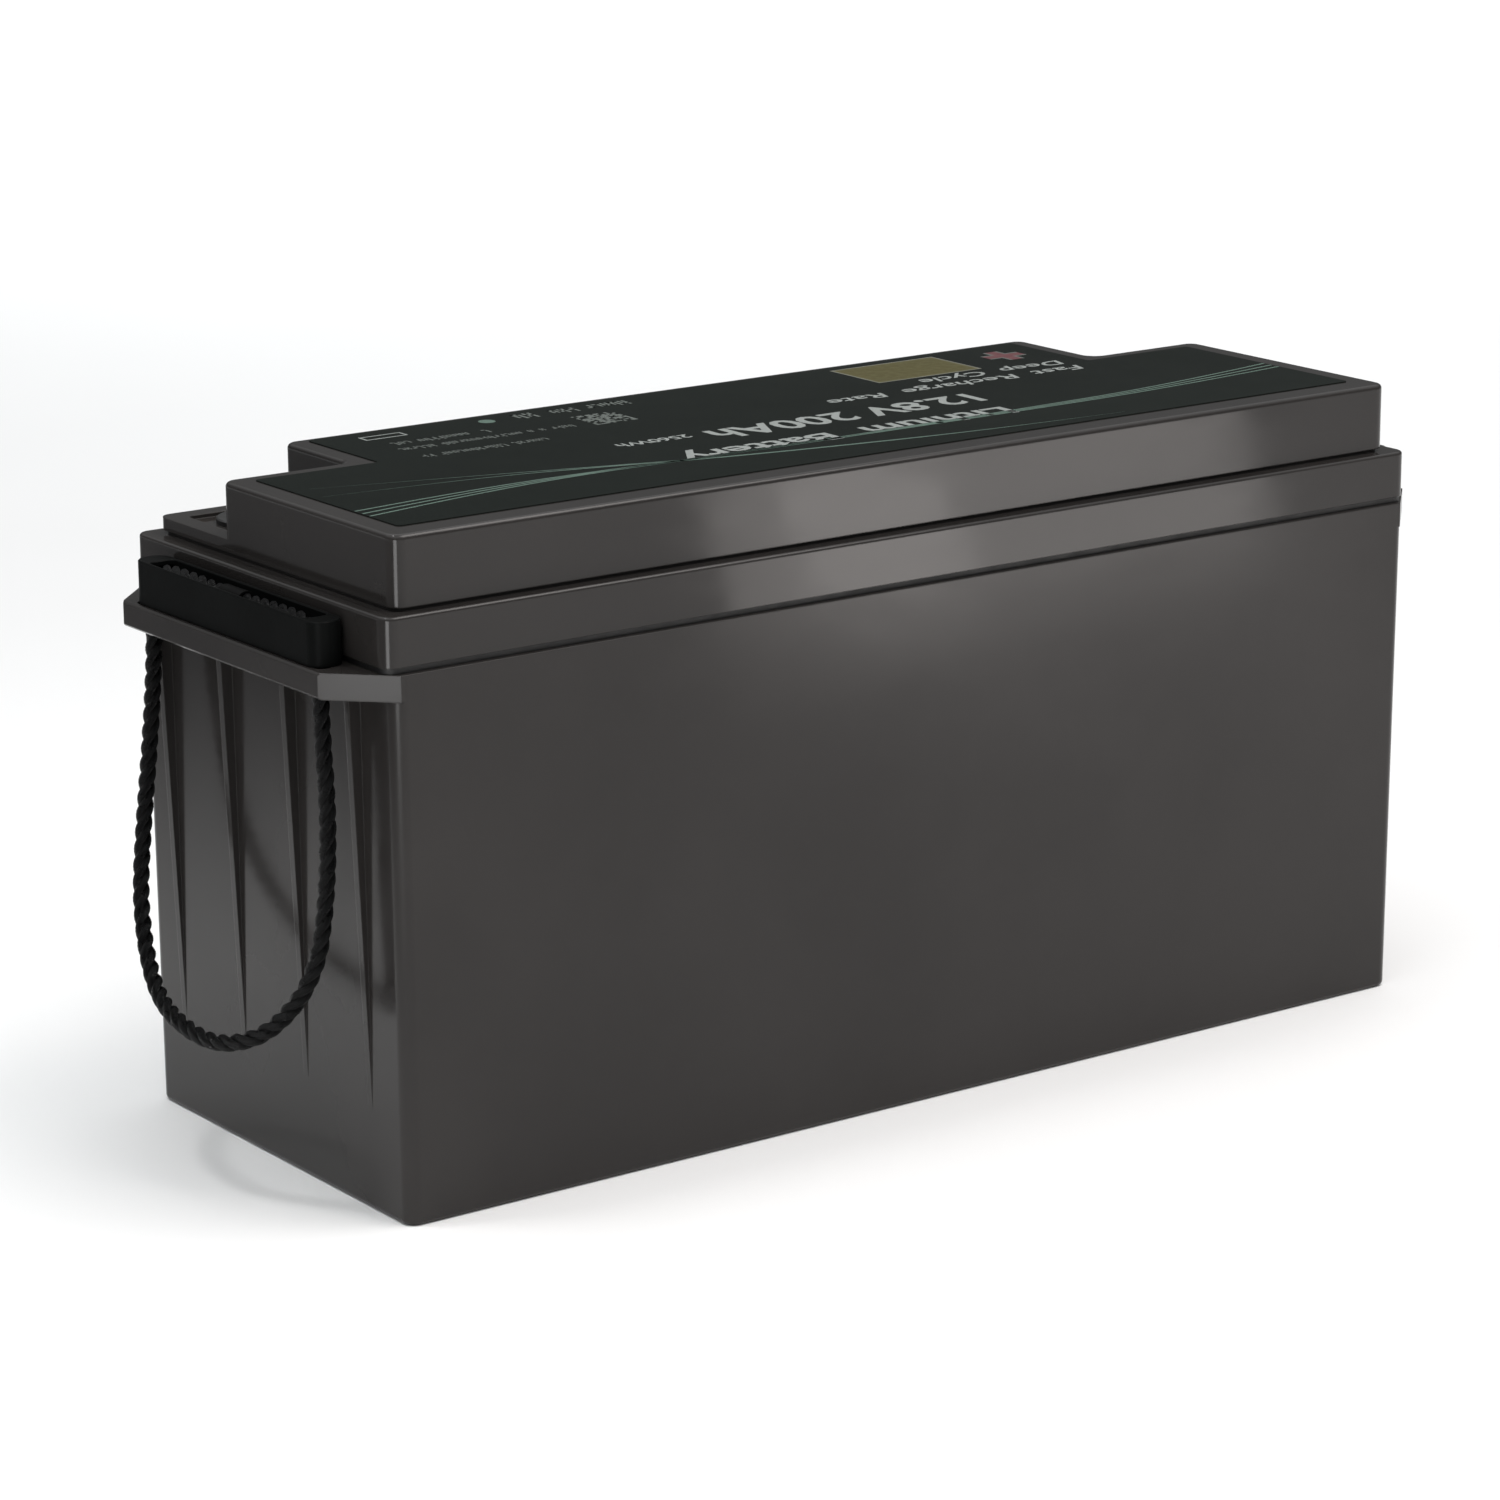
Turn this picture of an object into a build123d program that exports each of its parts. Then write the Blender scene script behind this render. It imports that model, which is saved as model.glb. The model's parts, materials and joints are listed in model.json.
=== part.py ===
"""Deep cycle battery: a 12.8 V, 200 Ah lithium iron phosphate battery in a 485 mm case with two rope handles.

Millimetres. +X runs along the case, +Y points to the side with the terminals, +Z is up.
The origin is at the middle of the case's bottom face.
"""

from build123d import *
from math import pi, radians, tan
import os

# ---------------------------------------------------------------- driving dimensions

case_length = 485.0
case_width = 170.0
flange_top = 191.5
flange_bottom = 182.4
flange_corner_cut = 20.0
edge_break = 0.8

tub_half_length_top = 225.2
tub_half_length_bottom = 224.0
tub_half_width_top = case_width / 2
tub_half_width_bottom = 84.6
corner_radius = 5.0
wall = 3.5
floor = 4.0

rib_spacing = 42.0
rib_shift = 1.5
rib_width = 3.0
rib_reach = 4.6
rib_foot = 30.0

skirt_bottom = 193.6
tier_height = 210.8
lid_top = 236.6
lower_half_length = 227.2
lower_half_width = 83.1
upper_half_length = 220.4
upper_half_width = 78.1
groove_depth = 1.2
groove_height = 1.3
tongue_bottom = 186.0
tongue_thickness = 2.0
tongue_gap = 0.3
chamber_step = tier_height - wall

notch_x = 169.1
notch_y = 33.3
platform_height = 216.6
recess_depth = 1.5
terminal_x = (notch_x + upper_half_length) / 2
terminal_y = (notch_y + upper_half_width) / 2

label_thickness = 0.3

insert_radius = 9.0
insert_top = 218.6
insert_bottom = 196.0
m8_tap_radius = 3.4
m8_depth = 13.0
m6_tap_radius = 2.5
m6_shank_radius = 2.45
m6_clear_radius = 3.3

rope_diameter = 6.0
grip_inner_x = 228.0
grip_outer_x = 240.5
grip_half_length = 61.0
grip_height = 15.3
grip_wall = 1.2
grip_floor = 1.5
grip_roof = 1.8
grip_opening_half_length = 52.0
grip_rest_gap = 0.2
sleeve_length = 14.0
sleeve_wall = 0.8
rope_hole_x = 236.0
rope_slot_length = 17.0
rope_slot_width = 9.0
rope_slot_y = 53.0

cell_length = 174.0
cell_width = 54.0
cell_height = 200.0
cell_base = 7.0
cell_x = 88.0
cell_y = 28.0
post_offset = 61.5
post_radius = 9.0
post_height = 3.0
stud_radius = 2.95
stud_height = 12.0
busbar_width = 20.0
busbar_thickness = 3.0
nut_height = 6.0
nut_across_flats = 10.0

cable_diameter = 9.0
lug_thickness = 2.5
lug_barrel_radius = 6.0
lug_barrel_length = 14.0
sense_wire_diameter = 1.4

cell_top = cell_base + cell_height
busbar_bottom = cell_top + post_height
busbar_top = busbar_bottom + busbar_thickness
block_half_length = cell_x + cell_length / 2
block_half_width = cell_y + cell_width / 2
strap_thickness = 1.0
plate_x = -(block_half_length + strap_thickness)

os.makedirs("parts", exist_ok=True)


# ---------------------------------------------------------------- shared helpers


def save(part, name):
    """Labels one finished piece and writes its STEP file."""
    part.label = name
    export_step(part, f"parts/{name}.step")


def rounded_outline(points, radius):
    """Face inside a closed outline with every corner rounded."""
    with BuildSketch() as outline:
        with BuildLine():
            Polyline(*points, close=True)
        make_face()
        fillet(outline.vertices(), radius)
    return outline.sketch


def notched_outline(half_length, front, back, step_x, step_y, radius):
    """Outline of the upper tier: a rectangle with both rear corners cut away."""
    points = [
        (-half_length, front),
        (half_length, front),
        (half_length, step_y),
        (step_x, step_y),
        (step_x, back),
        (-step_x, back),
        (-step_x, step_y),
        (-half_length, step_y),
    ]
    return rounded_outline(points, radius)


def upper_outline(inset, radius):
    """The upper tier's outline, set in all round by the given amount."""
    return notched_outline(
        upper_half_length - inset,
        inset - upper_half_width,
        upper_half_width - inset,
        notch_x - inset,
        notch_y - inset,
        radius,
    )


def turn_at(points, index):
    """Angle in degrees by which a route turns at one of its points."""
    before = Vector(*points[index]) - Vector(*points[index - 1])
    after = Vector(*points[index + 1]) - Vector(*points[index])
    return before.get_angle(after)


def route_radii(points, share=0.45):
    """Arc radius at each inner point of a route: as large as its two runs allow."""
    radii = []
    for index in range(1, len(points) - 1):
        before = (Vector(*points[index]) - Vector(*points[index - 1])).length
        after = (Vector(*points[index + 1]) - Vector(*points[index])).length
        radii.append(share * min(before, after) / tan(radians(turn_at(points, index) / 2)))
    return radii


def round_cord(points, radii, diameter):
    """Round cord along straight runs joined by tangent arcs."""
    with BuildPart() as cord:
        with BuildLine():
            route = FilletPolyline(*points, radius=radii)
        with BuildSketch(Plane(origin=route @ 0, z_dir=route % 0)):
            Circle(diameter / 2)
        sweep(path=route)
    expected = pi * diameter**2 / 4 * route.length
    print("cord volume", round(cord.part.volume), "expected", round(expected))
    print("  length", round(route.length, 1), "radii", [round(r, 1) for r in radii])
    return cord.part


# ---------------------------------------------------------------- tub


def end_flange():
    """Carrying flange at the +X end, with its two rope slots and cut corners."""
    half_length = case_length / 2
    half_width = case_width / 2 - 0.1
    root = tub_half_length_bottom - corner_radius - 4
    straight = case_width / 2 - flange_corner_cut
    cut_x = half_length + straight - half_width
    points = [
        (root, half_width),
        (cut_x, half_width),
        (half_length, straight),
        (half_length, -straight),
        (cut_x, -half_width),
        (root, -half_width),
    ]
    with BuildPart() as flange:
        with BuildSketch(Plane.XY.offset(flange_bottom)):
            with BuildLine():
                Polyline(*points, close=True)
            make_face()
        extrude(amount=flange_top - flange_bottom)
        outer = flange.faces().sort_by(Axis.X)[-1]
        chamfer(outer.edges().filter_by(Axis.Y), edge_break)
        with BuildSketch(Plane.XY.offset(flange_bottom)):
            for side in (-1, 1):
                with Locations((rope_hole_x, side * rope_slot_y)):
                    SlotOverall(rope_slot_length, rope_slot_width, rotation=90)
        extrude(amount=flange_top - flange_bottom, mode=Mode.SUBTRACT)
    return flange.part


def end_rib(centre_y):
    """Tapered gusset under the +X flange, widest at the flange and gone near the foot."""
    wall_x = tub_half_length_top - 1.5
    with BuildPart() as rib:
        with BuildSketch(Plane.XZ.offset(-centre_y - rib_width / 2)):
            with BuildLine():
                Polyline(
                    (wall_x - 2, rib_foot),
                    (tub_half_length_bottom, rib_foot),
                    (tub_half_length_top + rib_reach, flange_bottom + 1),
                    (wall_x - 2, flange_bottom + 1),
                    close=True,
                )
            make_face()
        extrude(amount=rib_width)
    return rib.part


with BuildPart() as tub:
    with BuildSketch(Plane.XY):
        RectangleRounded(2 * tub_half_length_bottom, 2 * tub_half_width_bottom, corner_radius)
    with BuildSketch(Plane.XY.offset(flange_top)):
        RectangleRounded(2 * tub_half_length_top, 2 * tub_half_width_top, corner_radius)
    loft(ruled=True)
    fillet(tub.edges().group_by(Axis.Z)[0], 2.0)
    flange_form = end_flange()
    add(flange_form)
    add(flange_form.mirror(Plane.YZ))
    for rib_number in (-1.5, -0.5, 0.5, 1.5):
        rib_form = end_rib(rib_number * rib_spacing + rib_shift)
        add(rib_form)
        add(rib_form.mirror(Plane.YZ))
    with BuildSketch(Plane.XY.offset(floor)):
        RectangleRounded(
            2 * (tub_half_length_bottom - wall), 2 * (tub_half_width_bottom - wall), corner_radius - 2
        )
    with BuildSketch(Plane.XY.offset(flange_top)):
        RectangleRounded(
            2 * (tub_half_length_top - wall), 2 * (tub_half_width_top - wall), corner_radius - 2
        )
    loft(ruled=True, mode=Mode.SUBTRACT)
save(tub.part, "tub")

tongue_half_length = tub_half_length_top - wall - tongue_gap
tongue_half_width = tub_half_width_top - wall - tongue_gap


# ---------------------------------------------------------------- lid, seal and label

with BuildPart() as lid:
    with BuildSketch(Plane.XY.offset(skirt_bottom)):
        RectangleRounded(2 * lower_half_length, 2 * lower_half_width, corner_radius)
    extrude(amount=tier_height - skirt_bottom)
    fillet(lid.edges().group_by(Axis.Z)[-1], 1.2)
    with BuildSketch(Plane.XY.offset(tier_height)):
        RectangleRounded(
            2 * (upper_half_length - groove_depth), 2 * (upper_half_width - groove_depth), corner_radius
        )
    extrude(amount=groove_height)
    with BuildSketch(Plane.XY.offset(tier_height + groove_height)):
        RectangleRounded(2 * upper_half_length, 2 * upper_half_width, corner_radius)
    extrude(amount=platform_height - tier_height - groove_height)
    with BuildSketch(Plane.XY.offset(platform_height)):
        add(upper_outline(0, corner_radius))
    extrude(amount=lid_top - platform_height)
    fillet(lid.edges().group_by(Axis.Z)[-1], 1.8)
    with BuildSketch(Plane.XY.offset(platform_height - recess_depth)):
        with Locations((terminal_x - 1.5, terminal_y - 1.5), (-terminal_x + 1.5, terminal_y - 1.5)):
            RectangleRounded(
                upper_half_length - notch_x - 12, upper_half_width - notch_y - 12, 3
            )
    extrude(amount=recess_depth, mode=Mode.SUBTRACT)
    with BuildSketch(Plane.XY.offset(tongue_bottom)):
        RectangleRounded(2 * tongue_half_length, 2 * tongue_half_width, corner_radius - 2)
    extrude(amount=skirt_bottom - tongue_bottom)
    with BuildSketch(Plane.XY.offset(tongue_bottom)):
        RectangleRounded(
            2 * (tongue_half_length - tongue_thickness),
            2 * (tongue_half_width - tongue_thickness),
            corner_radius - 3,
        )
    extrude(amount=chamber_step - tongue_bottom, mode=Mode.SUBTRACT)
    with BuildSketch(Plane.XY.offset(chamber_step)):
        add(upper_outline(wall, corner_radius - 2))
    extrude(amount=lid_top - wall - chamber_step, mode=Mode.SUBTRACT)
    with Locations((terminal_x, terminal_y, chamber_step), (-terminal_x, terminal_y, chamber_step)):
        Cylinder(
            insert_radius,
            platform_height - chamber_step,
            align=(Align.CENTER, Align.CENTER, Align.MIN),
            mode=Mode.SUBTRACT,
        )
save(lid.part, "lid")

with BuildPart() as lid_seal:
    with BuildSketch(Plane.XY.offset(flange_top)):
        RectangleRounded(2 * (lower_half_length - 0.6), 2 * (lower_half_width - 0.5), corner_radius)
        RectangleRounded(
            2 * tongue_half_length, 2 * tongue_half_width, corner_radius - 2, mode=Mode.SUBTRACT
        )
    extrude(amount=skirt_bottom - flange_top)
save(lid_seal.part, "lid_seal")

with BuildPart() as label:
    with BuildSketch(Plane.XY.offset(lid_top)):
        add(notched_outline(211.0, -66.5, 74.0, 161.0, 26.0, 1.5))
    extrude(amount=label_thickness)
save(label.part, "label")


# ---------------------------------------------------------------- terminals


def terminal_insert(side):
    """Brass bush moulded into a lid platform, tapped M8 from above and M6 from below."""
    with BuildPart() as insert:
        with BuildSketch(Plane.XY.offset(insert_bottom)):
            with Locations((side * terminal_x, terminal_y)):
                Circle(insert_radius)
        extrude(amount=insert_top - insert_bottom)
        with BuildSketch(Plane.XY.offset(chamber_step - 4)):
            with Locations((side * terminal_x, terminal_y)):
                RegularPolygon(13, 6)
        extrude(amount=4)
        chamfer(insert.edges().group_by(Axis.Z)[-1], 0.6)
        with BuildSketch(Plane.XY.offset(insert_top)):
            with Locations((side * terminal_x, terminal_y)):
                Circle(m8_tap_radius)
        extrude(amount=-m8_depth, mode=Mode.SUBTRACT)
        with BuildSketch(Plane.XY.offset(insert_bottom)):
            with Locations((side * terminal_x, terminal_y)):
                Circle(m6_tap_radius)
        extrude(amount=7, mode=Mode.SUBTRACT)
    return insert.part


def terminal_ring(side):
    """Coloured polarity ring round the insert, in the platform's recess."""
    with BuildPart() as ring:
        with BuildSketch(Plane.XY.offset(platform_height - recess_depth)):
            with Locations((side * terminal_x, terminal_y)):
                Circle(insert_radius + 4)
                Circle(insert_radius, mode=Mode.SUBTRACT)
        extrude(amount=2)
        chamfer(ring.edges().group_by(Axis.Z)[-1].sort_by(SortBy.RADIUS)[-1], 0.5)
    return ring.part


save(terminal_insert(1), "positive_terminal")
save(terminal_insert(-1), "negative_terminal")
save(terminal_ring(1), "positive_ring")
save(terminal_ring(-1), "negative_ring")


def terminal_lug(side):
    """Cable lug under a terminal insert, its barrel pointing along -Y."""
    plate_top = insert_bottom
    with BuildPart() as lug:
        with BuildSketch(Plane.XY.offset(plate_top - lug_thickness)):
            with Locations((side * terminal_x, terminal_y)):
                Circle(8)
            with Locations((side * terminal_x, terminal_y - 8)):
                Rectangle(12, 16)
        extrude(amount=lug_thickness)
        with BuildSketch(Plane.XZ.offset(16 - terminal_y)):
            with Locations((side * terminal_x, plate_top - lug_thickness / 2)):
                Circle(lug_barrel_radius)
        extrude(amount=lug_barrel_length)
        with BuildSketch(Plane.XY.offset(plate_top - lug_thickness)):
            with Locations((side * terminal_x, terminal_y)):
                Circle(m6_clear_radius)
        extrude(amount=lug_thickness, mode=Mode.SUBTRACT)
    return lug.part


def post_lug(centre_x, centre_y, direction):
    """Cable lug on a cell post, its barrel pointing along X."""
    barrel_z = busbar_bottom + 4
    plane = Plane(
        origin=(centre_x + direction * 14, centre_y, barrel_z), x_dir=(0, 1, 0), z_dir=(direction, 0, 0)
    )
    with BuildPart() as lug:
        with BuildSketch(Plane.XY.offset(busbar_bottom)):
            with Locations((centre_x, centre_y)):
                Circle(8)
            with Locations((centre_x + direction * 8, centre_y)):
                Rectangle(16, 12)
        extrude(amount=busbar_thickness)
        with BuildSketch(plane):
            Circle(lug_barrel_radius)
        extrude(amount=lug_barrel_length)
        with BuildSketch(Plane.XY.offset(busbar_bottom)):
            with Locations((centre_x, centre_y)):
                Circle(m6_clear_radius)
        extrude(amount=busbar_thickness, mode=Mode.SUBTRACT)
    return lug.part


save(terminal_lug(1), "positive_terminal_lug")
save(terminal_lug(-1), "negative_terminal_lug")
lug_stud_x = cell_x + post_offset
save(post_lug(-lug_stud_x, cell_y, 1), "positive_cell_lug")
save(post_lug(-lug_stud_x, -cell_y, -1), "negative_cell_lug")

with BuildPart() as lug_screws:
    for side in (-1, 1):
        with BuildSketch(Plane.XY.offset(insert_bottom - lug_thickness)):
            with Locations((side * terminal_x, terminal_y)):
                RegularPolygon(5.77, 6)
        extrude(amount=-4)
        with BuildSketch(Plane.XY.offset(insert_bottom - lug_thickness)):
            with Locations((side * terminal_x, terminal_y)):
                Circle(m6_shank_radius)
        extrude(amount=lug_thickness + 6)
save(lug_screws.part, "lug_screws")


# ---------------------------------------------------------------- rope handles


def grip_bar(side):
    """Moulded channel that lies on the flange, open along its top between two roofed ends with rope holes."""
    centre_x = side * (grip_inner_x + grip_outer_x) / 2
    width = grip_outer_x - grip_inner_x
    bottom = flange_top + grip_rest_gap
    with BuildPart() as grip:
        with BuildSketch(Plane.XY.offset(bottom)):
            with Locations((centre_x, 0)):
                RectangleRounded(width, 2 * grip_half_length, 5.5)
        extrude(amount=grip_height)
        with BuildSketch(Plane.XY.offset(bottom + grip_floor)):
            with Locations((centre_x, 0)):
                RectangleRounded(
                    width - 2 * grip_wall, 2 * (grip_half_length - grip_wall), 5.5 - grip_wall
                )
        extrude(amount=grip_height - grip_floor - grip_roof, mode=Mode.SUBTRACT)
        with BuildSketch(Plane.XY.offset(bottom + grip_height)):
            with Locations((centre_x, 0)):
                RectangleRounded(width - 2 * grip_wall, 2 * grip_opening_half_length, 3)
        extrude(amount=-grip_roof, mode=Mode.SUBTRACT)
        chamfer(grip.edges().group_by(Axis.Z)[-1], 0.4)
        with BuildSketch(Plane.XY.offset(bottom)):
            with Locations((side * rope_hole_x, 55.2), (side * rope_hole_x, -55.2)):
                Ellipse(3.7, 4.4)
        extrude(amount=grip_floor, mode=Mode.SUBTRACT)
    return grip.part


# Rope route on the -X end, from the joint inside the grip round the hanging loop and back:
# outward distance from the rope holes' middle, then Y and Z.
rope_route = [
    (-1.2, 0.4, 203.2),
    (-0.9, 28.0, 204.6),
    (-0.6, 55.0, 204.0),
    (0.3, 55.4, 172.0),
    (3.0, 55.6, 143.0),
    (7.0, 55.3, 113.5),
    (13.8, 48.0, 86.0),
    (21.5, 27.0, 64.0),
    (26.0, 3.0, 57.5),
    (23.5, -22.0, 54.5),
    (12.5, -39.5, 62.0),
    (3.5, -54.0, 84.0),
    (0.3, -57.0, 112.0),
    (0.0, -58.8, 142.0),
    (0.1, -56.0, 172.0),
    (-0.6, -55.0, 204.0),
    (-0.9, -28.0, 204.6),
    (-1.2, -0.4, 203.2),
]


def handle_rope(side):
    """Rope loop of one handle: through the grip, down both slots and hanging below the flange."""
    points = [(side * (rope_hole_x + out), y, z) for out, y, z in rope_route]
    return round_cord(points, route_radii(points), rope_diameter)


def rope_sleeve(side):
    """Shrunk sleeve that joins the rope's two ends inside the grip."""
    centre_x = side * (rope_hole_x + rope_route[0][0])
    with BuildPart() as sleeve:
        with BuildSketch(Plane.XZ.offset(-sleeve_length / 2)):
            with Locations((centre_x, rope_route[0][2] + 0.2)):
                Circle(rope_diameter / 2 + sleeve_wall)
                Circle(rope_diameter / 2, mode=Mode.SUBTRACT)
        extrude(amount=sleeve_length)
    return sleeve.part


for handle_side, handle_name in ((-1, "left"), (1, "right")):
    save(grip_bar(handle_side), f"{handle_name}_grip")
    save(handle_rope(handle_side), f"{handle_name}_rope")
    save(rope_sleeve(handle_side), f"{handle_name}_rope_sleeve")


# ---------------------------------------------------------------- cells

cell_centres = [(-cell_x, -cell_y), (cell_x, -cell_y), (cell_x, cell_y), (-cell_x, cell_y)]
post_centres = [(x + side * post_offset, y) for x, y in cell_centres for side in (-1, 1)]

for number, (centre_x, centre_y) in enumerate(cell_centres, start=1):
    with BuildPart() as cell:
        with BuildSketch(Plane.XY.offset(cell_base)):
            with Locations((centre_x, centre_y)):
                RectangleRounded(cell_length, cell_width, 3)
        extrude(amount=cell_height)
        fillet(cell.edges().group_by(Axis.Z)[-1], 1.0)
    save(cell.part, f"cell_{number}")

with BuildPart() as cell_posts:
    with BuildSketch(Plane.XY.offset(cell_top)):
        with Locations(*post_centres):
            Circle(post_radius)
    extrude(amount=post_height)
    with BuildSketch(Plane.XY.offset(busbar_bottom)):
        with Locations(*post_centres):
            Circle(stud_radius)
    extrude(amount=stud_height)
save(cell_posts.part, "cell_posts")

with BuildPart() as cell_insulators:
    with BuildSketch(Plane.XY.offset(cell_top)):
        with Locations(*post_centres):
            Circle(post_radius + 3)
            Circle(post_radius, mode=Mode.SUBTRACT)
    extrude(amount=1.5)
save(cell_insulators.part, "cell_insulators")

with BuildPart() as cell_vents:
    with BuildSketch(Plane.XY.offset(cell_top)):
        with Locations(*cell_centres):
            SlotOverall(24, 14)
    extrude(amount=0.6)
save(cell_vents.part, "cell_vents")

with BuildPart() as cell_nuts:
    with BuildSketch(Plane.XY.offset(busbar_top)):
        with Locations(*post_centres):
            RegularPolygon(nut_across_flats / 2, 6, major_radius=False)
            Circle(stud_radius + 0.05, mode=Mode.SUBTRACT)
    extrude(amount=nut_height)
save(cell_nuts.part, "cell_nuts")


def busbar(first, second):
    """Flat copper bar with rounded ends, drilled for the studs at two cell posts."""
    along_x = first[1] == second[1]
    span = abs(first[0] - second[0]) + abs(first[1] - second[1])
    centre = ((first[0] + second[0]) / 2, (first[1] + second[1]) / 2)
    with BuildPart() as bar:
        with BuildSketch(Plane.XY.offset(busbar_bottom)):
            with Locations(centre):
                SlotOverall(span + busbar_width, busbar_width, rotation=0 if along_x else 90)
            with Locations(first, second):
                Circle(m6_clear_radius, mode=Mode.SUBTRACT)
        extrude(amount=busbar_thickness)
    return bar.part


inner_post_x = cell_x - post_offset
save(busbar((-inner_post_x, -cell_y), (inner_post_x, -cell_y)), "busbar_1")
save(busbar((lug_stud_x, -cell_y), (lug_stud_x, cell_y)), "busbar_2")
save(busbar((-inner_post_x, cell_y), (inner_post_x, cell_y)), "busbar_3")


# ---------------------------------------------------------------- cell packing

row_gap = 2 * (cell_y - cell_width / 2)
column_gap = 2 * (cell_x - cell_length / 2)

with BuildPart() as row_divider:
    with BuildSketch(Plane.XY.offset(cell_base)):
        Rectangle(2 * block_half_length, row_gap)
    extrude(amount=cell_height)
save(row_divider.part, "row_divider")

with BuildPart() as column_dividers:
    with BuildSketch(Plane.XY.offset(cell_base)):
        with Locations((0, cell_y), (0, -cell_y)):
            Rectangle(column_gap, cell_width)
    extrude(amount=cell_height)
save(column_dividers.part, "column_dividers")

with BuildPart() as cell_straps:
    for strap_base in (cell_base + 45, cell_base + 140):
        with BuildSketch(Plane.XY.offset(strap_base)):
            RectangleRounded(
                2 * (block_half_length + strap_thickness), 2 * (block_half_width + strap_thickness), 4
            )
            RectangleRounded(2 * block_half_length, 2 * block_half_width, 3, mode=Mode.SUBTRACT)
        extrude(amount=16)
save(cell_straps.part, "cell_straps")

with BuildPart() as bottom_pad:
    with BuildSketch(Plane.XY.offset(floor)):
        Rectangle(2 * block_half_length, 2 * block_half_width)
    extrude(amount=cell_base - floor)
save(bottom_pad.part, "bottom_pad")

side_pad_inner = block_half_width + strap_thickness
side_pad_outer = tub_half_width_bottom - wall - 0.3
for pad_side, pad_name in ((-1, "front_pad"), (1, "back_pad")):
    with BuildPart() as side_pad:
        with BuildSketch(Plane.XY.offset(floor)):
            with Locations((0, pad_side * (side_pad_inner + side_pad_outer) / 2)):
                RectangleRounded(2 * block_half_length, side_pad_outer - side_pad_inner, 2)
        extrude(amount=170)
    save(side_pad.part, pad_name)

end_pad_inner = block_half_length + strap_thickness
end_pad_outer = tub_half_length_bottom - wall - 0.3
with BuildPart() as end_pad:
    with BuildSketch(Plane.XY.offset(floor)):
        with Locations(((end_pad_inner + end_pad_outer) / 2, 0)):
            RectangleRounded(end_pad_outer - end_pad_inner, 140, 3)
    extrude(amount=165)
save(end_pad.part, "end_pad")

with BuildPart() as top_pads:
    with BuildSketch(Plane.XY.offset(cell_top)):
        with Locations((70, -48), (-70, -48), (0, 48)):
            Rectangle(90, 8)
    extrude(amount=lid_top - wall - 0.3 - cell_top)
save(top_pads.part, "top_pads")


# ---------------------------------------------------------------- battery management board

board_low = 50.0
board_high = 170.0
board_half_width = 60.0
board_inner_x = plate_x - 9
board_face_x = board_inner_x - 2
mosfet_face_x = board_face_x - 4.5
connector_size = (7.0, 20.0, 12.0)
connector_y = 3.0
connector_z = 146.0
standoff_places = [(y, z) for y in (-54, 54) for z in (board_low + 6, board_high - 6)]


def box_between(low, high):
    """Plain block between two opposite corners."""
    size = [high[i] - low[i] for i in range(3)]
    with BuildPart() as block:
        with Locations(low):
            Box(*size, align=Align.MIN)
    return block.part


with BuildPart() as board_plate:
    add(box_between((plate_x - 2, -70, 20), (plate_x, 70, 190)))
    fillet(board_plate.edges().filter_by(Axis.X), 4)
save(board_plate.part, "board_plate")

with BuildPart() as board_standoffs:
    with BuildSketch(Plane.YZ.offset(board_inner_x)):
        with Locations(*standoff_places):
            RegularPolygon(3.5, 6)
            Circle(1.5, mode=Mode.SUBTRACT)
    extrude(amount=plate_x - 2 - board_inner_x)
save(board_standoffs.part, "board_standoffs")

with BuildPart() as board:
    with BuildSketch(Plane.YZ.offset(board_face_x)):
        with Locations((0, (board_low + board_high) / 2)):
            RectangleRounded(2 * board_half_width, board_high - board_low, 3)
        with Locations(*standoff_places):
            Circle(1.6, mode=Mode.SUBTRACT)
    extrude(amount=board_inner_x - board_face_x)
save(board.part, "management_board")

with BuildPart() as board_screws:
    with BuildSketch(Plane.YZ.offset(board_face_x)):
        with Locations(*standoff_places):
            Circle(2.8)
    extrude(amount=-2)
    with BuildSketch(Plane.YZ.offset(board_face_x)):
        with Locations(*standoff_places):
            Circle(1.45)
    extrude(amount=7)
save(board_screws.part, "board_screws")

with BuildPart() as mosfets:
    with BuildSketch(Plane.YZ.offset(board_face_x)):
        with Locations((0, 92)):
            with GridLocations(15, 26, 6, 2):
                Rectangle(10, 15)
    extrude(amount=mosfet_face_x - board_face_x)
save(mosfets.part, "mosfets")

with BuildPart() as heatsink:
    with BuildSketch(Plane.YZ.offset(mosfet_face_x)):
        with Locations((0, 92)):
            Rectangle(100, 60)
    extrude(amount=-4)
    with BuildSketch(Plane.YZ.offset(mosfet_face_x - 4)):
        with Locations((0, 92)):
            with GridLocations(9.8, 1, 11, 1):
                Rectangle(2, 60)
    extrude(amount=-13)
save(heatsink.part, "heatsink")

block_outer_x = -terminal_x - 7
block_top = 150.0
cable_block_y = (-cell_y, -8)
with BuildPart() as board_terminals:
    for block_y in cable_block_y:
        with BuildSketch(Plane.XY.offset(block_top - 20)):
            with Locations(((block_outer_x + board_face_x) / 2, block_y)):
                Rectangle(board_face_x - block_outer_x, 16)
        extrude(amount=20)
save(board_terminals.part, "board_terminals")

with BuildPart() as sense_connector:
    add(
        box_between(
            (board_face_x - connector_size[0], connector_y, connector_z),
            (board_face_x, connector_y + connector_size[1], connector_z + connector_size[2]),
        )
    )
    fillet(sense_connector.edges().filter_by(Axis.X), 1)
save(sense_connector.part, "sense_connector")


# ---------------------------------------------------------------- internal cables

barrel_z = busbar_bottom + 4
terminal_barrel_y = terminal_y - 16 - lug_barrel_length
terminal_barrel_z = insert_bottom - lug_thickness / 2
barrel_end_x = lug_stud_x - 14 - lug_barrel_length

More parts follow.
